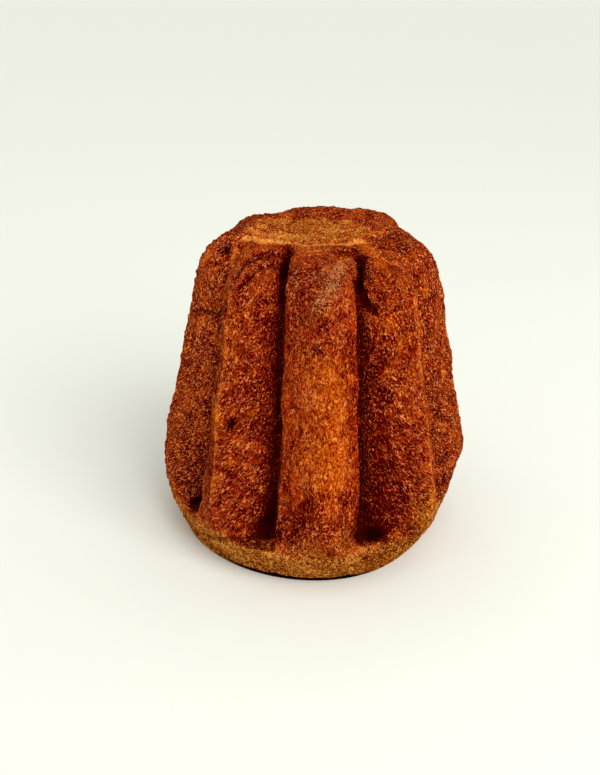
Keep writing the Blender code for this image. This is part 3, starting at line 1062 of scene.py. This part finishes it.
def baked_crust():
    """Browned crust: dark red-brown skin with paler, golden-brown threads standing on it."""
    made = bpy.data.materials.new("baked crust")
    made.use_nodes = True
    tree = made.node_tree
    shader = tree.nodes["Principled BSDF"]
    skin = read_marks(tree)
    find_zones(skin)
    add_grain(skin)
    add_tone(skin)
    # Painted light: each ridge's colour is scaled by its own gain
    colour = dusted_and_sheened(skin, skin_colour(skin)).scaled(skin.glow)
    colour = colour.blended(FLUSH, skin.flushed.clamped(), "MULTIPLY")
    colour = slitted(skin, colour)
    # Near-black where the burnt mark is strongest: charred crust and painted shadow in cracks, holes and
    # pits
    colour = colour.blended(paint(CHAR_AND_SHADOW_COLOUR), skin.burnt.between(*CHAR_AND_SHADOW_EDGE))
    colour = with_foot_shadow(skin, colour)
    rise = skin.thread * BUMP_THREAD + skin.speck * BUMP_FINE + skin.pits * BUMP_FINE
    bump = rise.node("ShaderNodeBump", (), {"Strength": 1.0, "Distance": BUMP, "Height": rise})
    tree.links.new(colour.socket, shader.inputs["Base Color"])
    tree.links.new((ROUGHNESS - skin.grain * GRAIN_GLOSS).socket, shader.inputs["Roughness"])
    tree.links.new(bump.socket, shader.inputs["Normal"])
    shader.inputs["Specular IOR Level"].default_value = 0.0
    return made


crust = make_crust()
crust.data.materials.append(baked_crust())
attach(crust, "root")
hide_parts("pandoro")


# Setting

FLOOR_SIZE = 30.0
FLOOR_COLOUR = (0.76, 0.77, 0.70, 1.0)
FLOOR_ROUGHNESS = 0.9
SKY_COLOUR = (1.0, 1.0, 0.97, 1.0)
SKY_STRENGTH = 0.89
SOFTBOX_SIZE = 1.2
SOFTBOX_POWER = 9.0
SOFTBOX_PLACE = (0.7, -0.9, 0.95)
SOFTBOX_AIM = (0.0, 0.0, 0.1)
WINDOW_ANGLE = math.radians(50.0)
WINDOW_STRENGTH = 1.1
WINDOW_DIRECTION = (-0.5, 0.62, -0.6)
CAMERA_LENS = 44.13
CAMERA_PLACE = (-0.010, -0.570, 0.355)
CAMERA_PITCH = math.radians(24.9)
CAMERA_ROLL = math.radians(2.8)


def plain_floor():
    """Pale matt material of the floor."""
    made = bpy.data.materials.new("floor")
    made.use_nodes = True
    shader = made.node_tree.nodes["Principled BSDF"]
    shader.inputs["Base Color"].default_value = FLOOR_COLOUR
    shader.inputs["Roughness"].default_value = FLOOR_ROUGHNESS
    return made


def lay_floor():
    """Lay a wide floor under the loaf."""
    bpy.ops.object.select_all(action="DESELECT")
    bpy.ops.mesh.primitive_plane_add(size=FLOOR_SIZE, location=(0.0, 0.0, cad_low.z))
    floor = bpy.context.object
    floor.name = "floor"
    floor.data.materials.append(plain_floor())
    return floor


def light_sky():
    """Light the loaf evenly from all around."""
    world = bpy.data.worlds.new("studio")
    bpy.context.scene.world = world
    world.use_nodes = True
    background = world.node_tree.nodes["Background"]
    background.inputs["Color"].default_value = SKY_COLOUR
    background.inputs["Strength"].default_value = SKY_STRENGTH


def hang_lamp(lamp, place, direction):
    """Hang a lamp at a place, shining in a direction."""
    hung = bpy.data.objects.new(lamp.name, lamp)
    hung.location = place
    hung.rotation_euler = direction.to_track_quat("-Z", "Y").to_euler()
    bpy.context.collection.objects.link(hung)


def hang_softbox():
    """Hang a round softbox at the front right."""
    lamp = bpy.data.lights.new("softbox", "AREA")
    lamp.shape = "DISK"
    lamp.size = SOFTBOX_SIZE
    lamp.energy = SOFTBOX_POWER
    hang_lamp(lamp, SOFTBOX_PLACE, Vector(SOFTBOX_AIM) - Vector(SOFTBOX_PLACE))


def hang_window():
    """Let soft daylight in from the front right."""
    lamp = bpy.data.lights.new("window", "SUN")
    lamp.angle = WINDOW_ANGLE
    lamp.energy = WINDOW_STRENGTH
    hang_lamp(lamp, (0.0, 0.0, 0.0), Vector(WINDOW_DIRECTION))


def set_camera():
    """Set the camera in front of the loaf, looking down at it and rolled a little."""
    camera = bpy.data.objects.new("camera", bpy.data.cameras.new("camera"))
    camera.data.lens = CAMERA_LENS
    camera.matrix_world = (Matrix.Translation(CAMERA_PLACE)
                           @ Matrix.Rotation(math.pi / 2 - CAMERA_PITCH, 4, "X")
                           @ Matrix.Rotation(CAMERA_ROLL, 4, "Z"))
    bpy.context.collection.objects.link(camera)
    bpy.context.scene.camera = camera


floor = lay_floor()
light_sky()
hang_softbox()
hang_window()
set_camera()
bpy.context.scene.view_settings.view_transform = "Standard"
